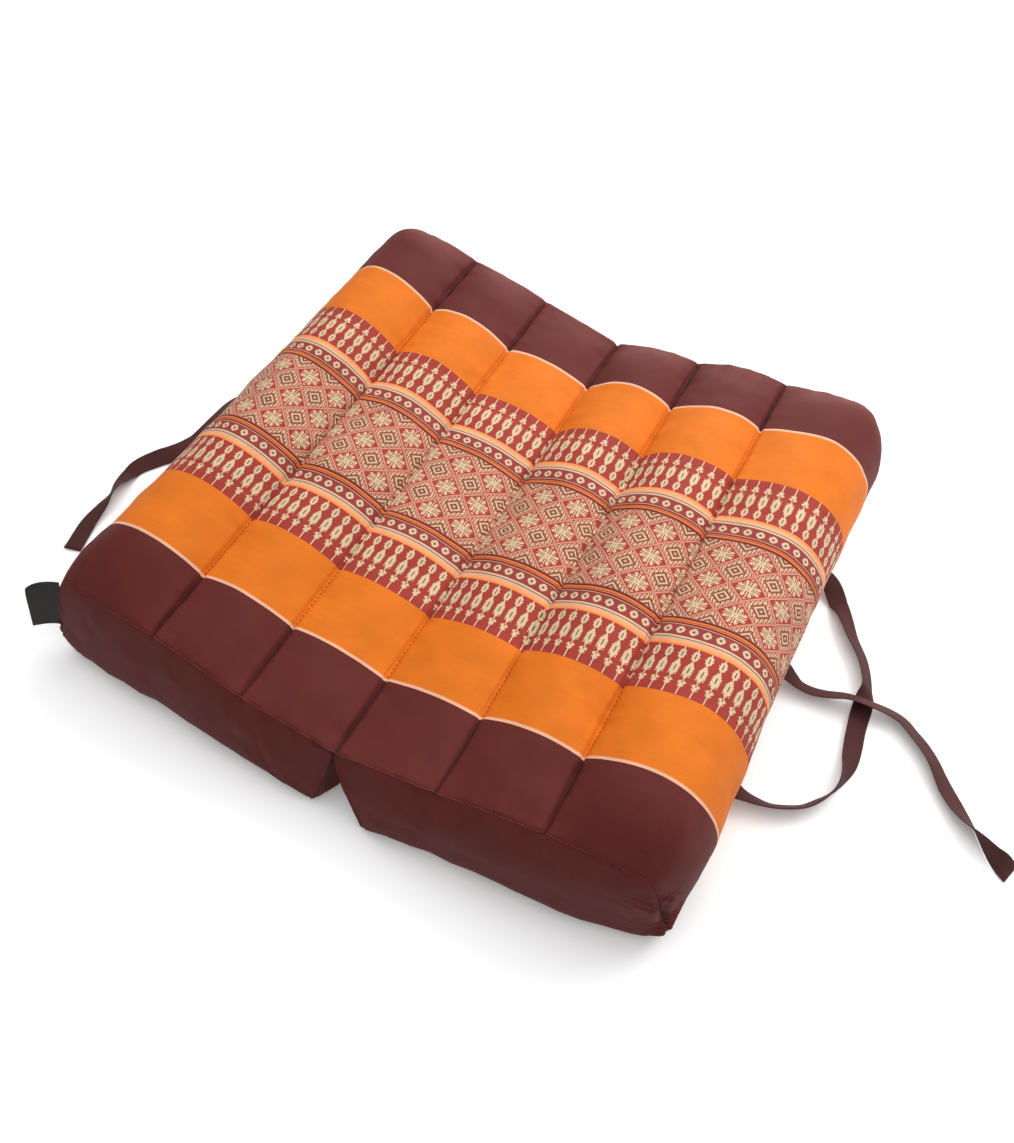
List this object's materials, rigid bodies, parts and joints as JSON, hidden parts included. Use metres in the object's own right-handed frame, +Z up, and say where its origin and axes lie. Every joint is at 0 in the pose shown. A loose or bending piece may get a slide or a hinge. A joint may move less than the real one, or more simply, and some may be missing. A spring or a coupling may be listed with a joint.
{
  "type": "folding meditation cushion",
  "caption": "Flat folding floor cushion: a filled pad in sewn channels under a woven striped top, with a fold across the middle, a handle loop and ties.",
  "frame": {"origin": "middle of the filled pad and its label, on the floor plane the base rests on", "axes": "+Z up through the pad's thickness; Y runs along the sewn channels and the fold, front end at -Y; X runs across the channels, with the handle loop and the crossing tie at +X and the label and the other tie at -X"},
  "size_m": [0.6397, 0.4242, 0.089],
  "materials": {
    "cover": "matte woven cotton in maroon, orange and patterned red stripes",
    "tape": "matte maroon cotton tape",
    "label": "black satin"
  },
  "bodies": {
    "root": {"block_left": "cover", "block_right": "cover", "handle": "tape", "tie_right": "tape", "tie_left": "tape", "label": "label"}
  },
  "joints": []
}
